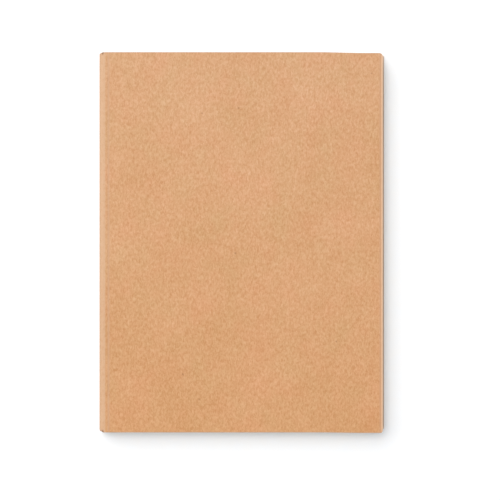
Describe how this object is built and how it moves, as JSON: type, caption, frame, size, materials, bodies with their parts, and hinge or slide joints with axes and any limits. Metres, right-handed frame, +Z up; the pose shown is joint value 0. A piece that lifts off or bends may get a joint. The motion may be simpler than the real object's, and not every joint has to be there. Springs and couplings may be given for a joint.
{
  "type": "pocket notebook",
  "caption": "Thread-sewn pocket notebook in a soft kraft-card cover wrapped round a square spine, closed; the covers and the leaves turn.",
  "frame": {"origin": "middle of the notebook's footprint, on the surface that the back cover lies on", "axes": "+Z up out of the front cover, +Y along the spine towards the head, +X from the spine to the fore-edge"},
  "size_m": [0.1054, 0.14, 0.0106],
  "materials": {
    "kraft_card": "uncoated recycled kraft card, matte",
    "book_paper": "uncoated off-white writing paper",
    "sewing_thread": "unbleached sewing thread",
    "gauze": "open cotton gauze",
    "binding_glue": "dried binding glue, slightly glossy"
  },
  "bodies": {
    "back_cover": {"back_cover": "kraft_card"},
    "spine": {"spine_wrap": "kraft_card", "spine_gauze": "gauze", "spine_glue": "binding_glue", "section_1_fold": "book_paper", "section_1_thread": "sewing_thread", "section_2_fold": "book_paper", "section_2_thread": "sewing_thread", "section_3_fold": "book_paper", "section_3_thread": "sewing_thread", "section_4_fold": "book_paper", "section_4_thread": "sewing_thread", "section_5_fold": "book_paper", "section_5_thread": "sewing_thread", "section_6_fold": "book_paper", "section_6_thread": "sewing_thread", "section_7_fold": "book_paper", "section_7_thread": "sewing_thread", "section_8_fold": "book_paper", "section_8_thread": "sewing_thread"},
    "front_cover": {"front_cover": "kraft_card"},
    "section_1_front_leaves": {"section_1_front_leaves": "book_paper"},
    "section_1_back_leaves": {"section_1_back_leaves": "book_paper"},
    "section_2_front_leaves": {"section_2_front_leaves": "book_paper"},
    "section_2_back_leaves": {"section_2_back_leaves": "book_paper"},
    "section_3_front_leaves": {"section_3_front_leaves": "book_paper"},
    "section_3_back_leaves": {"section_3_back_leaves": "book_paper"},
    "section_4_front_leaves": {"section_4_front_leaves": "book_paper"},
    "section_4_back_leaves": {"section_4_back_leaves": "book_paper"},
    "section_5_front_leaves": {"section_5_front_leaves": "book_paper"},
    "section_5_back_leaves": {"section_5_back_leaves": "book_paper"},
    "section_6_front_leaves": {"section_6_front_leaves": "book_paper"},
    "section_6_back_leaves": {"section_6_back_leaves": "book_paper"},
    "section_7_front_leaves": {"section_7_front_leaves": "book_paper"},
    "section_7_back_leaves": {"section_7_back_leaves": "book_paper"},
    "section_8_front_leaves": {"section_8_front_leaves": "book_paper"},
    "section_8_back_leaves": {"section_8_back_leaves": "book_paper"}
  },
  "joints": [
    {"name": "back_cover_crease", "type": "hinge", "parent": "back_cover", "child": "spine", "pos_m": [-0.05275, 0, 0], "axis": [0, 1, 0], "range_deg": [-90, 0]},
    {"name": "front_cover_score", "type": "hinge", "parent": "spine", "child": "front_cover", "pos_m": [-0.04965, 0, 0.01067], "axis": [0, -1, 0], "range_deg": [0, 178]},
    {"name": "section_1_front_gutter", "type": "hinge", "parent": "spine", "child": "section_1_front_leaves", "pos_m": [-0.04611, 0, 0.00983], "axis": [0, 1, 0], "range_deg": [0, 5.29]},
    {"name": "section_1_back_gutter", "type": "hinge", "parent": "spine", "child": "section_1_back_leaves", "pos_m": [-0.04616, 0, 0.00923], "axis": [0, 1, 0], "range_deg": [0, 10.59]},
    {"name": "section_2_front_gutter", "type": "hinge", "parent": "spine", "child": "section_2_front_leaves", "pos_m": [-0.04625, 0, 0.00863], "axis": [0, 1, 0], "range_deg": [0, 15.88]},
    {"name": "section_2_back_gutter", "type": "hinge", "parent": "spine", "child": "section_2_back_leaves", "pos_m": [-0.04636, 0, 0.00802], "axis": [0, 1, 0], "range_deg": [0, 21.18]},
    {"name": "section_3_front_gutter", "type": "hinge", "parent": "spine", "child": "section_3_front_leaves", "pos_m": [-0.0465, 0, 0.00743], "axis": [0, 1, 0], "range_deg": [0, 26.47]},
    {"name": "section_3_back_gutter", "type": "hinge", "parent": "spine", "child": "section_3_back_leaves", "pos_m": [-0.04667, 0, 0.00683], "axis": [0, 1, 0], "range_deg": [0, 31.77]},
    {"name": "section_4_front_gutter", "type": "hinge", "parent": "spine", "child": "section_4_front_leaves", "pos_m": [-0.04687, 0, 0.00622], "axis": [0, 1, 0], "range_deg": [0, 37.06]},
    {"name": "section_4_back_gutter", "type": "hinge", "parent": "spine", "child": "section_4_back_leaves", "pos_m": [-0.0471, 0, 0.00562], "axis": [0, 1, 0], "range_deg": [0, 42.35]},
    {"name": "section_5_front_gutter", "type": "hinge", "parent": "spine", "child": "section_5_front_leaves", "pos_m": [-0.04737, 0, 0.00502], "axis": [0, 1, 0], "range_deg": [0, 47.65]},
    {"name": "section_5_back_gutter", "type": "hinge", "parent": "spine", "child": "section_5_back_leaves", "pos_m": [-0.04767, 0, 0.00443], "axis": [0, 1, 0], "range_deg": [0, 52.94]},
    {"name": "section_6_front_gutter", "type": "hinge", "parent": "spine", "child": "section_6_front_leaves", "pos_m": [-0.048, 0, 0.00382], "axis": [0, 1, 0], "range_deg": [0, 58.24]},
    {"name": "section_6_back_gutter", "type": "hinge", "parent": "spine", "child": "section_6_back_leaves", "pos_m": [-0.04837, 0, 0.00323], "axis": [0, 1, 0], "range_deg": [0, 63.53]},
    {"name": "section_7_front_gutter", "type": "hinge", "parent": "spine", "child": "section_7_front_leaves", "pos_m": [-0.04879, 0, 0.00263], "axis": [0, 1, 0], "range_deg": [0, 68.83]},
    {"name": "section_7_back_gutter", "type": "hinge", "parent": "spine", "child": "section_7_back_leaves", "pos_m": [-0.04924, 0, 0.00202], "axis": [0, 1, 0], "range_deg": [0, 74.12]},
    {"name": "section_8_front_gutter", "type": "hinge", "parent": "spine", "child": "section_8_front_leaves", "pos_m": [-0.04974, 0, 0.00143], "axis": [0, 1, 0], "range_deg": [0, 79.41]},
    {"name": "section_8_back_gutter", "type": "hinge", "parent": "spine", "child": "section_8_back_leaves", "pos_m": [-0.05028, 0, 0.00082], "axis": [0, 1, 0], "range_deg": [0, 84.71]}
  ],
  "couplings": [
    {"joint": "section_1_front_gutter", "follows": "back_cover_crease", "ratio": -0.058824},
    {"joint": "section_1_back_gutter", "follows": "back_cover_crease", "ratio": -0.11765},
    {"joint": "section_2_front_gutter", "follows": "back_cover_crease", "ratio": -0.17647},
    {"joint": "section_2_back_gutter", "follows": "back_cover_crease", "ratio": -0.23529},
    {"joint": "section_3_front_gutter", "follows": "back_cover_crease", "ratio": -0.29412},
    {"joint": "section_3_back_gutter", "follows": "back_cover_crease", "ratio": -0.35294},
    {"joint": "section_4_front_gutter", "follows": "back_cover_crease", "ratio": -0.41176},
    {"joint": "section_4_back_gutter", "follows": "back_cover_crease", "ratio": -0.47059},
    {"joint": "section_5_front_gutter", "follows": "back_cover_crease", "ratio": -0.52941},
    {"joint": "section_5_back_gutter", "follows": "back_cover_crease", "ratio": -0.58823},
    {"joint": "section_6_front_gutter", "follows": "back_cover_crease", "ratio": -0.64706},
    {"joint": "section_6_back_gutter", "follows": "back_cover_crease", "ratio": -0.70588},
    {"joint": "section_7_front_gutter", "follows": "back_cover_crease", "ratio": -0.76471},
    {"joint": "section_7_back_gutter", "follows": "back_cover_crease", "ratio": -0.82353},
    {"joint": "section_8_front_gutter", "follows": "back_cover_crease", "ratio": -0.88235},
    {"joint": "section_8_back_gutter", "follows": "back_cover_crease", "ratio": -0.94118}
  ]
}
